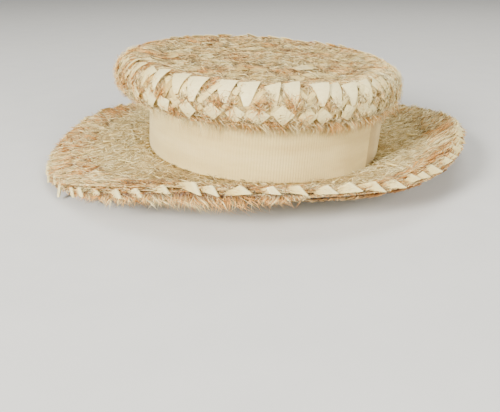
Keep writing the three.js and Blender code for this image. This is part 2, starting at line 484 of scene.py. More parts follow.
def hair_finish():
    """Fine straw hair, ivory to beige, with a peach stain where the peach attribute says so."""
    finish = Finish("straw_hair", roughness=0.5, specular=0.35, sheen=0.15)
    plain = finish.ramp(
        finish.attribute("tone"),
        [(0, "#5e4a22"), (0.3, "#b39854"), (0.6, "#ead693"), (1, "#fff5c4")],
    )
    stained = finish.ramp(
        finish.attribute("tone"),
        [(0, "#5a380c"), (0.3, "#b56f14"), (0.65, "#f0a63c"), (1, "#fcdc88")],
    )
    colour = finish.mix(finish.attribute("peach"), plain, stained)
    # Painted shade: roots are darker, as they lie deep between the other hairs
    root_shade = finish.ramp(finish.attribute("along"), [(0, "#8f7852"), (0.45, "#ffffff"), (1, "#ffffff")])
    finish.colour(finish.mix(1, colour, root_shade, "MULTIPLY"))
    return finish.material


def flat_straw_finish():
    """Folded flat straw with a soft shine and fine fibres along it."""
    finish = Finish("flat_straw", roughness=0.45, specular=0.4, coat=0.1)
    fibres = finish.noise(finish.space("UV", (3, 40, 1)), detail=4, rough=0.65)
    blotches = finish.noise(finish.space("Object"), scale=110)
    base = finish.ramp(finish.attribute("tone"), [(0, "#b89c4e"), (0.4, "#f3e29c"), (1, "#fffbc8")])
    fibred = finish.tinted(fibres, 0.75, base, "#bd9a52")
    finish.colour(finish.tinted(blotches, 0.2, fibred, "#f6eabb"))
    finish.bump(fibres, distance=0.0005, strength=0.8)
    return finish.material


def ribbon_finish():
    """Dull grosgrain: fine ribs across the ribbon, slightly mottled."""
    finish = Finish("grosgrain", roughness=0.78, specular=0.25, sheen=0.35)
    ribs = finish.bands(finish.space("UV", (110, 1, 1)), "X", distortion=0.3)
    mottle = finish.noise(finish.space("UV", (4, 1.2, 1)), scale=3, detail=5, rough=0.6)
    threads = finish.noise(finish.space("UV", (700, 6, 1)), detail=2)
    base = finish.ramp(mottle, [(0.3, "#cab06a"), (0.55, "#dac47f"), (0.75, "#e3ce90")])
    ribbed = finish.tinted(ribs, 0.12, base, "#b9a47c")
    woven = finish.tinted(threads, 0.15, ribbed, "#efe2c4")
    # Painted shade: a dark shadow line in the crease beside the folded end, and painted shade over the
    # stretch behind it
    length_way = finish.node("ShaderNodeSeparateXYZ")
    finish.link(finish.node("ShaderNodeTexCoord").outputs["UV"], length_way.inputs["Vector"])
    painted_crease_shadow = finish.ramp(length_way.outputs["X"], [
        (0.0395, "#ffffff"),
        (0.0402, "#7a6a50"),
        (0.0425, "#d6cdbd"),
        (0.07, "#e9e3d8"),
        (0.08, "#ffffff"),
    ])
    finish.colour(finish.mix(1, woven, painted_crease_shadow, "MULTIPLY"))
    finish.bump(ribs, distance=0.00025, strength=0.6)
    return finish.material


def sewn_straw_finish():
    """Plain straw braid sewn in rounds, for the foundation."""
    finish = Finish("sewn_straw", roughness=0.7, specular=0.3)
    rounds = finish.bands(finish.space("UV", (1, 4.4, 1)), "Y", distortion=0.15)
    plaits = finish.bands(finish.space("UV", (60, 14, 1)), "DIAGONAL", distortion=0.4)
    height = finish.math("ADD", rounds, finish.math("MULTIPLY", plaits, 0.5))
    blotches = finish.noise(finish.space("Object"), scale=60, detail=4)
    base = finish.ramp(blotches, [(0.3, "#b79a68"), (0.7, "#d8c294")])
    finish.colour(finish.tinted(height, 0.3, base, "#efe0b8"))
    finish.bump(height, distance=0.0006, strength=0.7)
    return finish.material


def matted_hair_finish():
    """The matted bed of hair that shows between the loose strands."""
    finish = Finish("matted_hair", roughness=0.85, specular=0.15)
    lay = finish.noise(finish.space("UV", (220, 9, 1)), detail=4)
    blotches = finish.noise(finish.space("Object"), scale=45, detail=4)
    # The dark end of this ramp is partly painted shade, deep between the strands
    base = finish.ramp(lay, [(0.3, "#6f5a34"), (0.5, "#b19c6a"), (0.7, "#e0d0a2")])
    finish.colour(finish.tinted(blotches, 0.25, base, "#b4955f"))
    finish.bump(lay, distance=0.0008, strength=0.8)
    return finish.material


def whole_straw_finish():
    """A whole yellow straw, still shiny."""
    finish = Finish("whole_straw", roughness=0.4, specular=0.5)
    blotches = finish.noise(finish.space("Object"), scale=200, detail=2)
    finish.colour(finish.ramp(blotches, [(0.3, "#e3cb7a"), (0.7, "#f7e9b0")]))
    return finish.material


HAIR = hair_finish()
WHOLE_STRAW = whole_straw_finish()
FLAT_STRAW = flat_straw_finish()
GROSGRAIN = ribbon_finish()
SEWN_STRAW = sewn_straw_finish()
MATTED_HAIR = matted_hair_finish()


# Foundation shells


def map_round(mesh, height_share):
    """A map once round the hat along U, and out from the axis, or up the crown, along V."""
    points = points_of(mesh)
    angle = np.arctan2(points[:, 1], points[:, 0]) / TURN
    reach = np.hypot(points[:, 0], points[:, 1]) / neck_radius(angle * TURN)
    tenths_up = 10 * (reach + height_share * points[:, 2] / NECK_HALF_WIDTH)
    corners = corners_of(mesh)
    u = angle[corners]
    # A face across the seam keeps its corners together
    starts = np.empty(len(mesh.polygons), dtype=np.int32)
    totals = np.empty(len(mesh.polygons), dtype=np.int32)
    mesh.polygons.foreach_get("loop_start", starts)
    mesh.polygons.foreach_get("loop_total", totals)
    first = np.repeat(u[starts], totals)
    u = np.where(u - first > 0.5, u - 1, np.where(u - first < -0.5, u + 1, u))
    set_map(mesh, "round_and_out", np.stack([u, tenths_up[corners]], axis=-1))


def foundation():
    """The crown and the brim in sewn straw: the frame's own forms with their facets smoothed."""
    for node, name, levels, height_share in (("crown", "crown_shell", 1, 1), ("brim", "brim_shell", 2, 0)):
        mesh = frame["nodes"][node].data.copy()
        mesh.transform(SETTLE.inverted())
        shell = new_piece(name, mesh)
        close_skin(shell, make_quads=True)
        smooth = shell.modifiers.new("round", "SUBSURF")
        smooth.levels = levels
        smooth.render_levels = levels
        bpy.ops.object.modifier_apply(modifier=smooth.name)
        bpy.ops.object.shade_smooth()
        for layer in list(shell.data.uv_layers):
            shell.data.uv_layers.remove(layer)
        map_round(shell.data, height_share)
        finish_piece(shell, SEWN_STRAW, [node])


def ribbon():
    """One wrap of grosgrain, its folded end lying over its start on the wearer's left."""
    height = RIBBON_TOP - RIBBON_FOOT
    sweep = TURN + RIBBON_OVERLAP
    band = flat_grid("hat_band_ribbon", columns=300, rows=8)
    points = points_of(band.data)
    before = (1 - points[:, 0]) / 2 * sweep
    angle = RIBBON_END - FOLD_BACK - before
    # The end lies on the start, and its very tip stands off a little more
    onto = 1 - smoothstep(before, RIBBON_OVERLAP, 2 * RIBBON_OVERLAP)
    tip = 1 - smoothstep(before, 0, 0.05)
    out = SEAT_GAP + 0.2 + onto * RIBBON_LIFT + 0.5 * tip
    share = (points[:, 1] + 1) / 2
    slack = RIBBON_SLACK * wander(angle, 3, (3, 7, 13)) * np.sin(share * math.pi)
    set_points(band.data, crown_point(angle, out + slack, RIBBON_FOOT + share * height))
    close_skin(band)
    thicken(band, RIBBON_THICK, offset=1)
    bpy.ops.object.shade_smooth_by_angle(angle=math.radians(40))
    finish_piece(band, GROSGRAIN, ["hat_band"])


def matting(name, ground, rows, replaced=()):
    """A matted skin under loose hair. Each row is a place along the ground and a height above it."""
    skin = flat_grid(name, columns=180, rows=len(rows) - 1)
    points = points_of(skin.data)
    angle = (points[:, 0] + 1) / 2 * TURN
    place = (points[:, 1] + 1) / 2 * (len(rows) - 1)
    along = np.interp(place, np.arange(len(rows)), [row[0] for row in rows])
    height = np.interp(place, np.arange(len(rows)), [row[1] for row in rows])
    uneven = 0.25 * wander(angle * 3, along[0])
    set_points(skin.data, above(ground, angle, along, height + uneven))
    close_skin(skin)
    thicken(skin, MATTING_THICK, offset=-1)
    bpy.ops.object.shade_smooth()
    finish_piece(skin, MATTED_HAIR, replaced)


def matted_beds():
    brim_rows = [(0.02, 0.3), (0.1, 0.5), (0.3, 0.7), (0.5, 0.9), (0.7, 1), (0.9, 1), (1, 0.8)]
    matting("brim_matting", brim_ground, brim_rows, ["brim_pile"])
    drum_rows = [(station, 0.5) for station in (*np.arange(3, 10.5, 0.5), 10.97)]
    matting("drum_matting", crown_ground, drum_rows)


# Loose hair


def strands(name, path, width, tone, peach, flat=1.0):
    """Hairs or straws, each a closed tapering spike with a three-cornered section.

    path is an array of strands, each a row of points from root to tip, and flat is the section's
    thickness as a share of its width.
    """
    count, stops, _ = path.shape
    facing = unit(random.normal(size=(count, 3)))
    ahead = unit(path[:, 1:] - path[:, :-1])
    side = unit(np.cross(ahead, facing[:, None, :]))
    out = np.cross(ahead, side)
    narrowing = 0.45
    rings = []
    for k in range(stops - 1):
        taper = 1 - narrowing * k / max(stops - 2, 1)
        reach = (width * taper)[:, None]
        for corner in np.radians([90, 210, 330]):
            rings.append(
                path[:, k]
                + side[:, k] * reach * math.cos(corner)
                + out[:, k] * reach * flat * math.sin(corner)
            )
    rings.append(path[:, -1])
    points = np.stack(rings, axis=1)
    per_strand = points.shape[1]
    quads = []
    for k in range(stops - 2):
        for j in range(3):
            a, b = 3 * k + j, 3 * k + (j + 1) % 3
            quads.append((a, b, b + 3, a + 3))
    tip = per_strand - 1
    last = 3 * (stops - 2)
    triangles = [(0, 2, 1)]
    triangles += [(last + j, last + (j + 1) % 3, tip) for j in range(3)]
    starts = (np.arange(count) * per_strand)[:, None, None]
    mesh = mesh_of(
        name,
        points.reshape(-1, 3),
        (starts + np.array(quads)).reshape(-1, 4),
        (starts + np.array(triangles)).reshape(-1, 3),
    )
    along = np.repeat(np.arange(stops) / (stops - 1), [3] * (stops - 1) + [1])
    set_attribute(mesh, "along", np.tile(along, count))
    set_attribute(mesh, "tone", np.repeat(share_of(tone), per_strand))
    set_attribute(mesh, "peach", np.repeat(share_of(peach), per_strand))
    return new_piece(name, mesh)


def combed(ground, angle, along, sizes_mm, length, lay, stand, base, curl=0.0, droop=0.35, limit=99.0):
    """Paths of hairs that grow from a ground.

    sizes_mm is what one unit of angle and one of along measure there. lay is the heading, from the
    way that along runs; stand is the share of the length that rises; droop bends the tip back down.
    """
    round_mm, on_mm = sizes_mm
    flat = length * np.sqrt(1 - stand**2)
    stops = []
    for share in (0, 0.5, 1):
        way = lay + curl * share
        height = base + length * stand * share * (1 + droop * (1 - 2 * share))
        stops.append(above(
            ground,
            angle + flat * share * np.sin(way) / round_mm,
            np.minimum(along + flat * share * np.cos(way) / on_mm, limit),
            height,
        ))
    return np.stack(stops, axis=1)


def brim_spots(number, inner, outer):
    """Random places on the brim, evenly spread over its area between two rings."""
    angle = spread(number, 0, TURN)
    width, _ = brim_at(angle)
    near = neck_radius(angle)
    first = (near + inner * width) ** 2
    last = (near + outer * width) ** 2
    across = (np.sqrt(first + random.random(number) * (last - first)) - near) / width
    return angle, across


def brim_sizes(angle, across):
    width, _ = brim_at(angle)
    return neck_radius(angle) + across * width, width


class Coat:
    """A coat of loose hair in tufts."""

    def __init__(self, name, hairs, tuft):
        self.name = name
        self.hairs = hairs
        self.tuft_of = np.arange(hairs) // tuft
        self.tufts = self.tuft_of[-1] + 1

    def scatter(self, size):
        """A value for each hair, about as large as size, either way."""
        return random.normal(0, size, self.hairs)

    def around(self, values, stray):
        """A value for each hair, a little astray from its tuft's."""
        return values[self.tuft_of] + self.scatter(stray)

    def varied(self, middle, between, inside):
        """A value for each hair that differs between tufts, and a little inside each."""
        own = self.scatter(inside)
        return middle + random.normal(0, between, self.tufts)[self.tuft_of] + own

    def lots(self):
        """A random number from 0 to 1 that a tuft's hairs share."""
        return random.random(self.tufts)[self.tuft_of]

    def some(self, share):
        """True for this share of the hairs."""
        return random.random(self.hairs) < share

    def spread(self, low_value, high_value):
        return spread(self.hairs, low_value, high_value)

    def two_colours(self, brown_share, tones, peaches, mottle):
        """Tone and peach, where each tuft is pale or brown, in that order in tones and peaches."""
        pale = self.lots() > brown_share
        tone = np.where(pale, *tones) + self.scatter(mottle)
        peach = np.where(pale, *peaches) + self.scatter(0.15)
        return tone, peach

    def widths(self, fine, coarse):
        """Half widths of the hairs, two thirds of them fine."""
        return np.where(self.some(0.66), self.spread(0.6 * fine, fine), self.spread(fine, coarse))

    def make(self, path, width, tone, peach, replaced=()):
        finish_piece(strands(self.name, path, width, tone, peach), HAIR, replaced)


def brim_hair():
    """Soft short hair, ivory to beige, over the inner brim."""
    coat = Coat("brim_hair", hairs=18000, tuft=5)
    angle, across = brim_spots(coat.tufts, inner=0, outer=0.84)
    angle = coat.around(angle, stray=0.013)
    across = np.maximum(coat.around(across, stray=0.025), 0.004)
    near_ribbon = 1 - smoothstep(across, 0, 0.14)
    length = coat.spread(4, 11) * (1 - 0.4 * near_ribbon)
    lay = coat.varied(0, between=1.5, inside=0.9) + 0.35 * wander(angle, 5, (7, 15, 31))
    stand = np.where(coat.some(0.4), coat.spread(0.2, 0.6), coat.spread(0, 0.2))
    curl = coat.scatter(1.8)
    base = 0.3 + 0.6 * (1 - near_ribbon) * coat.spread(0, 1)
    path = combed(brim_ground, angle, across, brim_sizes(angle, across), length, lay, stand, base, curl)
    front = within("browner front", angle)
    # Painted shade: hair is darker in the corner beside the ribbon
    tone = coat.varied(0.82, between=0.24, inside=0.26) - 0.2 * near_ribbon - 0.35 * front
    # Painted light: paler hair on the wearer's left
    tone += 0.12 * within("painted lit side", angle)
    stained = smoothstep(across, 0.6, 0.85) * stain(angle)
    peach = coat.varied(0.02, between=0.1, inside=0.06) + 0.2 * front + 0.5 * stained
    coat.make(path, coat.widths(0.26, 0.5), tone, peach, ["brim_pile"])


def brim_streaks():
    """Long straight hair combed to the edge, in locks of ivory, peach and brown."""
    coat = Coat("brim_streaks", hairs=11200, tuft=8)
    angle, across = brim_spots(coat.tufts, inner=0.56, outer=0.92)
    lock = coat.lots()
    angle = coat.around(angle, stray=0.009)
    across = coat.around(across, stray=0.03)
    length = coat.spread(8, 17)
    lay = coat.varied(0, between=0.5, inside=0.28) + 0.3 * wander(angle, 5, (7, 15, 31))
    stand = coat.spread(0.02, 0.14) + 0.3 * coat.some(0.2)
    base = coat.spread(0.5, 1.3)
    curl = coat.scatter(0.35)
    past_edge = 0.02 * (lock > 0.5)
    path = combed(
        brim_ground, angle, across, brim_sizes(angle, across), length, lay, stand, base, curl,
        limit=1 + past_edge,
    )
    cloud = stain(angle)
    pale = lock > 0.33 + 0.5 * cloud
    tone = np.where(pale, 0.88, 0.4) + coat.scatter(0.26)
    tone -= 0.22 * within("browner front", angle)
    peach = np.where(pale, 0.12, 0.5 + 0.4 * cloud) + coat.scatter(0.1)
    coat.make(path, coat.widths(0.28, 0.55), tone, peach, ["brim_pile"])


def edge_hair():
    """Tufts that stand out round the loops of the edge and fill the dips between them."""
    coat = Coat("edge_hair", hairs=10000, tuft=8)
    rise = 4.2 * coat.lots()
    angle = coat.around(spread(coat.tufts, 0, TURN), stray=0.01)
    width, _ = brim_at(angle)
    out = -3.5 + 3.5 * coat.spread(0, 1)
    length = coat.spread(2.5, 6.5)
    lay = coat.varied(0, between=0.6, inside=0.45)
    stand = coat.spread(-0.1, 0.65)
    base = -2.6 + rise + coat.scatter(0.4)
    base -= 2 * within("hanging edge", angle) * coat.spread(0, 1)
    base += 1.6 * within("close trimmed edge", angle)
    # Few tufts reach far past the edge, and hardly any where the loops are bare
    bare = within("bare loops", angle)
    past_edge = 0.4 + 4.6 * random.random(coat.tufts) ** 2
    past_edge = past_edge[coat.tuft_of] * (1 - 0.7 * bare) - bare
    path = combed(
        brim_ground, angle, 1 + out / width, (neck_radius(angle) + width, width), length, lay, stand, base,
        curl=coat.scatter(0.8), limit=1 + past_edge / width,
    )
    tone, peach = coat.two_colours(0.55, tones=(0.85, 0.42), peaches=(0.15, 0.75), mottle=0.18)
    coat.make(path, coat.widths(0.22, 0.38), tone, peach)


def edge_fringe():
    """Hair hanging under the loops, longest at the front, in brown, peach and ivory locks."""
    coat = Coat("edge_fringe", hairs=9600, tuft=8)
    angle = coat.around(spread(coat.tufts, 0, TURN), stray=0.012)
    width, _ = brim_at(angle)
    hanging = within("hanging edge", angle)
    trimmed = within("close trimmed edge", angle)
    longest = 3.6 + 6.2 * within("long fringe", angle)
    longest -= 2 * within("short fringe", angle) + 2.6 * hanging
    longest -= 2.4 * within("thin fringe", angle) * (1 - hanging)
    longest = np.maximum(longest - 1.2 * trimmed, 0.8)
    length = longest * np.clip(coat.varied(0.85, between=0.2, inside=0.15), 0.3, 1.15)
    out = coat.spread(-4, 1.4)
    spray = length * coat.varied(0.25, between=0.35, inside=0.25)
    turn = length * coat.varied(0.3, between=0.8, inside=0.35) / (neck_radius(angle) + width)
    curl = coat.scatter(0.35)
    up = -1.2 - 0.3 * np.maximum(out, 0) - coat.spread(0, 1) - 1.5 * hanging + 1.2 * trimmed
    path = np.stack([
        above(brim_ground, angle + way * turn, 1 + (out + spray * share) / width, up - length * drop)
        for way, share, drop in ((0, 0, 0), (0.5 + curl, 0.7, 0.5), (1, 1, 1))
    ], axis=1)
    tone, peach = coat.two_colours(0.65, tones=(1, 0.62), peaches=(0.2, 0.8), mottle=0.22)
    coat.make(path, coat.widths(0.26, 0.48), tone, peach, ["brim_fringe"])


def under_fringe():
    """Hair under the outer part of the brim, combed in towards the crown."""
    coat = Coat("under_fringe", hairs=5200, tuft=8)
    angle, across = brim_spots(coat.tufts, inner=0.74, outer=1)
    angle = coat.around(angle, stray=0.012)
    across = coat.around(across, stray=0.02)
    round_mm, width = brim_sizes(angle, across)
    length = coat.spread(7, 14)
    sway = coat.varied(0, between=0.35, inside=0.3)
    climb = -length * np.cos(sway) / width
    turn = length * np.sin(sway) / round_mm
    drop = coat.spread(0.2, 1.6)
    path = np.stack([
        above(brim_ground, angle, across, np.full(coat.hairs, BRIM_UNDERSIDE)),
        above(brim_ground, angle + 0.5 * turn, across + 0.5 * climb, BRIM_UNDERSIDE - 0.2 - drop),
        above(brim_ground, angle + turn, across + climb, BRIM_UNDERSIDE - 0.1 - 0.9 * drop),
    ], axis=1)
    tone = coat.varied(0.5, between=0.2, inside=0.12)
    peach = 0.15 + 0.6 * stain(angle) + coat.scatter(0.12)
    coat.make(path, coat.spread(0.22, 0.44), tone, peach)


def drum_hair():
    """Tufts that burst from between the folds round the drum, thickest at its sides."""
    coat = Coat("drum_hair", hairs=13800, tuft=12)
    fold = random.integers(0, 2 * FOLDS, coat.tufts)
    angle = RIBBON_END + fold / (2 * FOLDS) * TURN + random.normal(0, 0.012, coat.tufts)
    # Most tufts come from between the rows of folds, and more from anywhere at the shaggy sides
    gaps = np.array([6.8, 5.4, 4.0])
    station = gaps[(fold + random.integers(0, 2, coat.tufts)) % 3] + random.normal(0, 0.2, coat.tufts)
    anywhere = random.random(coat.tufts) < 0.2 + 0.75 * shagginess(angle)
    station = np.where(anywhere, spread(coat.tufts, 3.6, 6.8), station)
    thick = shagginess(angle)[coat.tuft_of]
    angle = coat.around(angle, stray=0.011)
    station = coat.around(station, stray=0.14)
    length = coat.spread(3, 7.5)
    wild = coat.some(0.05 + 0.15 * thick)
    stand = np.where(wild, 0.85, np.clip(coat.spread(0.05, 0.45) + 0.25 * thick, 0, 0.8))
    # Hair lies flatter on the shoulder
    flat_top = 1 - 0.65 * smoothstep(station, 5.4, 6.6)
    length = np.where(wild, coat.spread(4.5, 7.5), length)
    lay = coat.spread(0, TURN)
    base = (1.4 + 1.6 * coat.spread(0, 1)) * (0.5 + 0.5 * flat_top)
    path = combed(
        crown_ground, angle, station, (DRUM_REACH, STATION_MM), length, lay, stand * flat_top, base,
        curl=coat.scatter(0.9) + 1.5 * wild, droop=np.where(wild, 0.4, 0.8), limit=8,
    )
    tone, peach = coat.two_colours(0.5, tones=(1.05, 0.66), peaches=(0.3, 0.95), mottle=0.2)
    # Painted light: paler, less peach hair on the wearer's left
    painted_side_light = 0.3 * within("painted lit side", angle)
    coat.make(path, coat.widths(0.2, 0.38), tone + painted_side_light, peach - painted_side_light)


def drum_fringe():
    """Tufts hanging from between the lower folds over the top of the ribbon."""
    coat = Coat("drum_fringe", hairs=6000, tuft=15)
    fold = random.integers(0, FOLDS, coat.tufts)
    fullness = random.random(FOLDS) ** 0.7
    angle = RIBBON_END + (fold + 0.1) / FOLDS * TURN + random.normal(0, 0.018, coat.tufts)
    angle += np.where(random.random(coat.tufts) < 0.25, random.normal(0, 0.06, coat.tufts), 0)
    middle = angle[coat.tuft_of]
    angle = middle + coat.scatter(0.012)
    # Roots lie on the drum's underside, which climbs outwards
    out = coat.spread(3, 13.5)
    root = 35.2 + out * 0.47
    veil = within("veil over the ribbon", angle) * coat.some(0.6)
    length = coat.spread(3, 10) * ((0.35 + 0.75 * fullness[fold])[coat.tuft_of] + 0.8 * veil)
    spray = length * coat.varied(0.05, between=0.15, inside=0.3) * (1 - 0.6 * veil)
    turn = 1.2 * (angle - middle) + length * coat.scatter(0.3) / 100
    path = np.stack([
        crown_point(angle, out, root),
        crown_point(angle + 0.5 * turn, np.maximum(out + spray * 0.6, 2), root - 0.5 * length),
        crown_point(angle + turn, np.maximum(out + spray * 0.7, 1.8), root - length),
    ], axis=1)
    tone, peach = coat.two_colours(0.5, tones=(0.98, 0.6), peaches=(0.25, 0.85), mottle=0.15)
    width = coat.widths(0.2, 0.36) * (1 - 0.3 * veil)
    tone += 0.25 * veil
    peach -= 0.5 * veil
    coat.make(path, width, tone, peach, ["drum_fringe_lower"])


def shoulder_hair():
    """Hair over the drum's shoulder and the roll round the tip."""
    coat = Coat("shoulder_hair", hairs=7200, tuft=8)
    angle = coat.around(spread(coat.tufts, 0, TURN), stray=0.012)
    station = coat.around(spread(coat.tufts, 6.9, 8.6), stray=0.1)
    length = coat.spread(4, 8)
    stand = coat.spread(0, 0.12) + 0.12 * shagginess(angle) * coat.spread(0, 1)
    lay = coat.varied(0.3, between=1.2, inside=0.4)
    base = coat.spread(0, 0.5)
    curl = coat.scatter(0.7)
    sizes_mm = (DRUM_REACH - 5, 1.2 * STATION_MM)
    path = combed(crown_ground, angle, station, sizes_mm, length, lay, stand, base, curl, droop=0.5)
    # Painted light: paler hair on the wearer's left
    tone = coat.varied(0.52, between=0.2, inside=0.22) + 0.2 * within("painted lit side", angle)
    peach = coat.varied(0.4, between=0.2, inside=0.1) + 0.25 * wander(angle, 9, (6, 13, 29))
    coat.make(path, coat.widths(0.24, 0.44), tone, peach, ["drum_fringe_upper"])


def tip_hair():
    """Hair lying every way over the flat tip, duller than the rest."""
    coat = Coat("tip_hair", hairs=9600, tuft=8)
    angle = spread(coat.tufts, 0, TURN)
    out = -NECK_HALF_WIDTH + np.sqrt(random.random(coat.tufts)) * (NECK_HALF_WIDTH - 5)
    level = np.full(coat.hairs, float(TIP_LEVEL))
    root = crown_point(angle[coat.tuft_of], out[coat.tuft_of], level)
    root[:, :2] += random.normal(0, 1.3, (coat.hairs, 2))
    length = coat.spread(6, 13)
    lay = coat.varied(0, between=9, inside=0.45)
    bend = coat.scatter(0.4)
    inner = (out[coat.tuft_of] < -12) & coat.some(0.3)
    lift = length * np.where(inner, coat.spread(0.15, 0.35), coat.spread(0.03, 0.15))
    start = coat.spread(0.3, 1)
    stops = []
    for share, height in ((0, start), (0.5, start + 0.8 * lift), (1, start + 0.7 * lift)):
        way = lay + bend * share
        reach = length * share
        stops.append(root + np.stack([np.cos(way) * reach, np.sin(way) * reach, height], axis=-1))
    path = np.stack(stops, axis=1)
    # Near the edge the hair climbs the roll
    roll_height = 2.4
    x, y = path[..., 0] - DRUM_SHIFT, path[..., 1]
    past_neck = np.hypot(x, y) - neck_radius(np.arctan2(y, x))
    path[..., 2] += roll_height * smoothstep(past_neck, -13, -3)
    cloud_mm = 13
    cloud = wander(root[:, 0] / cloud_mm, 1.3, (1, 2.3, 3.1))
    cloud *= wander(root[:, 1] / cloud_mm, 2.9, (1, 1.9, 3.3))
    tone = coat.varied(0.5, between=0.22, inside=0.26)
    peach = coat.varied(0.2, between=0.12, inside=0.1) + 1.1 * cloud
    coat.make(path, coat.widths(0.26, 0.5), tone, peach, ["tip_pile"])


def bare_straws():
    """Whole straws lying on the brim's hair."""
    height, half_width, flat, tone = 2.4, 0.95, 0.6, 0.9
    count = len(BARE_STRAWS)
    angle, across, length, heading = (
        np.array([row[column] for row in BARE_STRAWS]) for column in ("angle", "across", "length", "heading")
    )
    middle = above(brim_ground, np.radians(angle), across, np.full(count, height))
    heading = np.radians(heading)
    way = np.stack([np.cos(heading), np.sin(heading), np.zeros(count)], axis=-1) * length[:, None]
    path = np.stack([middle + way * share for share in (-0.5, -0.1, 0.3, 0.5)], axis=1)
    plain = np.zeros(count)
    piece = strands("bare_straws", path, plain + half_width, plain + tone, plain, flat)
    finish_piece(piece, WHOLE_STRAW)


# Flat folded straw


def plate(columns, rows, shape, thickness):
    """A thin plate from a grid whose points are moved by shape."""
    made = flat_grid("straw", columns, rows)
    points = points_of(made.data)
    set_points(made.data, shape(points[:, 0], points[:, 1]))
    thicken(made, thickness, offset=0)
    return made


def four_corners(left_foot, right_foot, right_top, left_top):
    """Shapes a grid to a straw's outline in its own plane, a little arched across."""
    a, b, c, d = (np.array(corner, dtype=float) for corner in (left_foot, right_foot, right_top, left_top))

    def shape(x, y):
        u = (x[:, None] + 1) / 2
        v = (y[:, None] + 1) / 2
        flat = (1 - u) * (1 - v) * a + u * (1 - v) * b + u * v * c + (1 - u) * v * d
        return np.column_stack([flat, 0.35 * (1 - x**2)])

    return shape


def laid_copies(name, template, places, lay, paleness_and_painted_light, replaced):
    """Joins a copy of the template for each place.

    lay moves the template's points to a place, and the function after it gives how pale each point is there:
    on the edge loops a painted highlight and painted shade.
    """
    shape = points_of(template.data)
    corners = corners_of(template.data)
    lowest = shape[:, :2].min(axis=0)
    uv = ((shape[:, :2] - lowest) / (shape[:, :2].max(axis=0) - lowest))[corners]
    points = np.concatenate([lay(shape.copy(), place) for place in places])
    tones = np.concatenate([paleness_and_painted_light(shape) + place["tone"] for place in places])
    starts = (np.arange(len(places)) * len(shape))[:, None]
    mesh = mesh_of(name, points, (starts + corners).reshape(-1, 4))
    # Each copy shows its own part of the fibres
    spots = np.repeat(random.random((len(places), 2)), len(corners), axis=0)
    set_map(mesh, "along_straw", np.tile(uv, (len(places), 1)) + spots * 5)
    set_attribute(mesh, "tone", share_of(tones))
    bpy.data.objects.remove(template)
    piece = new_piece(name, mesh)
    select_only(piece)
    bpy.ops.object.shade_smooth_by_angle(angle=math.radians(35))
    finish_piece(piece, FLAT_STRAW, replaced)


def turned(shape, place):
    """The template turned in its own plane and scaled, as the place says."""
    angle = math.radians(place["turn"])
    flat = shape[:, :2] @ np.array([
        [math.cos(angle), math.sin(angle)],
        [-math.sin(angle), math.cos(angle)],
    ])
    return np.column_stack([flat * place["size"], shape[:, 2]])


def paler_along(axis, per_mm):
    """Gives how pale a plate's points are, rising along its own X, axis 0, or Y, axis 1."""
    return lambda shape: per_mm * shape[:, axis]


def lay_on_drum(shape, place):
    """Bends a plate round the drum: its X goes round, its Y up the side and its Z outwards."""
    shape = turned(shape, place)
    angle = place["angle"] + shape[:, 0] / DRUM_REACH
    station = place["station"] + shape[:, 1] / STATION_MM
    tilt = place["tilt"] * shape[:, 0] + place["nod"] * shape[:, 1]
    return above(crown_ground, angle, station, np.maximum(place["height"] + tilt, 0.6) + shape[:, 2])


def drum_places(row):
    """A place for each fold of one row, fewer and deeper ones where the drum is shaggy."""
    places = []
    for fold in range(FOLDS):
        angle = RIBBON_END + (fold + row["offset"] + random.normal(0, 0.1)) / FOLDS * TURN
        hidden = shagginess(angle)
        if random.random() < 0.6 * hidden**2:
            continue
        sunk = 1.6 * max(hidden**1.5 * random.random() ** 0.5, random.random() ** 9)
        places.append({
            "angle": angle,
            "station": row["station"] + random.normal(0, 0.1),
            "turn": random.normal(0, 10),
            "height": row["height"] - sunk + random.uniform(-0.4, 0.4),
            "tilt": row["tilt"] + random.normal(0, 0.07),
            "nod": row["nod"] + random.normal(0, 0.05),
            "size": row["size"] * random.uniform(0.9, 1.16) * (1 - 0.2 * hidden),
            # Painted shade: faces sunk among the hair at the shaggy sides are darker
            "tone": random.normal(row["tone"], 0.18) - 0.2 * hidden,
        })
    return places


def drum_plait():
    """Two rows of flat straw folded to and fro round the drum, over straws that cross behind them."""
    wedge = four_corners((-0.9, -6.2), (1.8, -5.8), (6.8, 6), (-6.4, 6.4))
    diamond = four_corners((-5.8, -0.2), (0.6, -5.6), (5.6, 0.8), (-1, 4.8))
    rising = four_corners((-6.6, -5.2), (-2.8, -6), (6.6, 4.8), (2.6, 6))
    falling = four_corners((2.8, -6), (6.4, -5.2), (-2.4, 5.8), (-6.6, 4.8))
    side = paler_along(0, 0.025)
    top = paler_along(1, 0.025)
    columns = ("name", "shape", "station", "offset", "height", "tilt", "nod", "size", "tone", "paler")
    for values in (
        ("upper_faces", wedge, 6.1, 0.1, 2.3, 0.13, 0.03, 1, 0.9, top),
        ("lower_faces", diamond, 4.65, 0.6, 2.4, 0.08, -0.05, 1.04, 0.88, side),
        # The straws crossing behind the faces have lower tones: painted shade under the faces
        ("upper_rising", rising, 5.95, 0.62, 1.2, 0.05, 0, 0.9, 0.4, side),
        ("upper_falling", falling, 6, 0.55, 0.7, -0.05, 0, 0.9, 0.25, top),
        ("lower_rising", rising, 4.7, 0.12, 1.1, 0.05, 0, 0.7, 0.45, side),
        ("lower_falling", falling, 4.75, 0.05, 0.6, -0.05, 0, 0.7, 0.25, top),
    ):
        row = dict(zip(columns, values))
        name = "drum_plait_" + row["name"]
        replaced = [name.removesuffix("_faces")] if name.endswith("_faces") else []
        template = plate(4, 4, row["shape"], STRAW_THICK)
        laid_copies(name, template, drum_places(row), lay_on_drum, row["paler"], replaced)


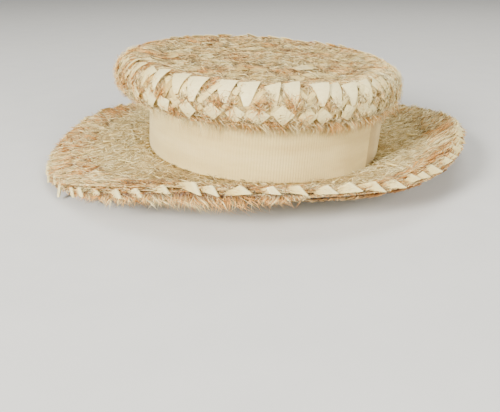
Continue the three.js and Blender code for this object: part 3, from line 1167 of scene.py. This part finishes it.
def lay_on_tip(shape, place):
    """Lays a plate on the tip: its X goes round and its Y points in to the centre."""
    shape = turned(shape, place)
    centre = crown_point(place["angle"], place["out"], np.array([float(TIP_LEVEL)]))[0]
    way = place["angle"][0] + math.pi / 2
    x = shape[:, 0] * math.cos(way) - shape[:, 1] * math.sin(way)
    y = shape[:, 0] * math.sin(way) + shape[:, 1] * math.cos(way)
    z = place["height"] + place["tilt"] * shape[:, 0] + place["nod"] * shape[:, 1] + shape[:, 2]
    return centre + np.stack([x, y, z], axis=-1)


def tip_plait():
    """Rings of lozenges lying on the tip, tilted outwards."""
    lozenge = four_corners((-5, -4.4), (5.6, -5), (4.8, 4.6), (-5.6, 4.2))
    for ring, count, out in (("tip_plait_outer", 32, -19), ("tip_plait_inner", 20, -43)):
        places = []
        for k in range(count):
            places.append({
                "angle": np.array([(k + random.normal(0, 0.14)) / count * TURN]),
                "out": np.array([out + random.normal(0, 2)]),
                "turn": random.normal(8, 24),
                "height": 0.9 + 1.7 * random.random() ** 2,
                "tilt": random.normal(0.02, 0.07),
                "nod": random.normal(0.1, 0.06),
                "size": random.uniform(0.7, 1.15),
                "tone": random.normal(0.3, 0.25),
            })
        template = plate(4, 4, lozenge, STRAW_THICK)
        laid_copies(ring + "_faces", template, places, lay_on_tip, paler_along(0, 0.02), [ring])


def edge_loops():
    """Flat straw folded over itself along the edge, one slanting fold to a loop."""
    stops = np.linspace(-1, 1, len(LOOP_BEND))
    along = [row["along"] for row in LOOP_BEND]
    proud = [row["proud"] for row in LOOP_BEND]

    def bent(x, y):
        v = LOOP_HALF * y * np.interp(x, [-1, 0, 1], [0.4, 1, 1])
        u = np.interp(x, stops, along) + LOOP_SLANT * v
        return np.column_stack([u, v, np.interp(x, stops, proud)])

    # Painted highlight along the crest of each fold, and painted shade over the tucked end
    def paleness_and_painted_light(shape):
        bend = shape[:, 0] - LOOP_SLANT * shape[:, 1]
        return 0.45 * smoothstep(bend, 0.4, 2.6) - 0.4 * (1 - smoothstep(bend, -7, -1.5))

    def lay_on_edge(shape, place):
        shape = turned(shape, place)
        width, _ = brim_at(place["angle"])
        angle = place["angle"] + shape[:, 0] / (neck_radius(place["angle"]) + width)
        width, _ = brim_at(angle)
        out = place["out"] + shape[:, 2] - place["lean"] * shape[:, 1]
        return above(brim_ground, angle, 1 + out / width, shape[:, 1] + place["up"])

    places = []
    for loop in range(EDGE_LOOPS):
        deep = random.random() ** 2
        where = RIBBON_END + (loop + random.normal(0, 0.15)) / EDGE_LOOPS * TURN
        bare = within("bare loops", where)
        sag = 3 * within("hanging edge", where) - 1.6 * within("close trimmed edge", where)
        shown = 1 - 0.35 * within("slivers of loops", where)
        places.append({
            "angle": np.array([where]),
            "turn": random.normal(0, 9),
            "out": -0.3 - 1.6 * deep * (1 - bare) - 0.9 * bare,
            "up": 0.3 + random.normal(0, 0.5) - sag,
            "lean": 0.35 + random.normal(0, 0.1),
            "size": random.uniform(0.84, 1.2) * (1 - 0.25 * deep) * shown,
            "tone": random.normal(0.48, 0.12),
        })
    template = plate(len(LOOP_BEND) - 1, 3, bent, 0.35)
    laid_copies("edge_loop_faces", template, places, lay_on_edge, paleness_and_painted_light, ["brim_edge_plait"])


# The table, lights and camera


def studio():
    bpy.ops.object.select_all(action="DESELECT")
    bpy.ops.mesh.primitive_plane_add(size=8)
    table = bpy.context.object
    table.name = "table"
    finish = Finish("pale_table", roughness=0.9, specular=0.1)
    grain = finish.noise(finish.space("Object"), scale=30, detail=4)
    finish.colour(finish.ramp(grain, [(0.3, "#d3d6db"), (0.7, "#d7dadf")]))
    table.data.materials.append(finish.material)
    world = bpy.data.worlds.new("soft_room")
    bpy.context.scene.world = world
    world.use_nodes = True
    room = world.node_tree.nodes["Background"].inputs
    room["Color"].default_value = (1, 0.955, 0.85, 1)
    room["Strength"].default_value = 0.45
    hat_middle = Vector((0, 0, 0.03))
    for name, place, size, watts in (
        ("key", (-0.6, -1.65, 0.8), 0.5, 86),
        ("fill", (1.4, -1.1, 0.75), 0.9, 41),
        ("top", (0.1, 0.7, 1.9), 1.2, 20),
    ):
        light = bpy.data.lights.new(name, "AREA")
        light.size = size
        light.color = (1, 0.945, 0.82)
        light.energy = watts
        lamp = bpy.data.objects.new(name, light)
        lamp.location = place
        lamp.rotation_euler = (hat_middle - lamp.location).to_track_quat("-Z", "Y").to_euler()
        bpy.context.scene.collection.objects.link(lamp)


def camera():
    """The photo's viewpoint, found from the outline of the hat, in the hat's own frame."""
    turn, lift, roll = (math.radians(degrees) for degrees in (15.93, 22.44, -4.07))
    distance = 517.6
    target = Vector((-7.3, -3.3, -57.7))
    back = Vector((math.sin(turn) * math.cos(lift), -math.cos(turn) * math.cos(lift), math.sin(lift)))
    right = Vector((math.cos(turn), math.sin(turn), 0))
    up = back.cross(right)
    level = math.cos(roll) * right - math.sin(roll) * up
    upright = math.sin(roll) * right + math.cos(roll) * up
    lens = bpy.data.cameras.new("photo_camera")
    lens.sensor_width = 36
    lens.lens = 46.4
    eye = bpy.data.objects.new("photo_camera", lens)
    axes = Matrix((level, upright, back)).transposed()
    place = SETTLE @ (target + back * distance)
    eye.matrix_world = Matrix.Translation(place) @ (LEAN @ axes).to_4x4()
    bpy.context.scene.collection.objects.link(eye)
    bpy.context.scene.camera = eye


camera()
foundation()
ribbon()
matted_beds()
brim_hair()
brim_streaks()
edge_hair()
edge_fringe()
under_fringe()
drum_hair()
drum_fringe()
shoulder_hair()
tip_hair()
drum_plait()
tip_plait()
edge_loops()
bare_straws()
studio()
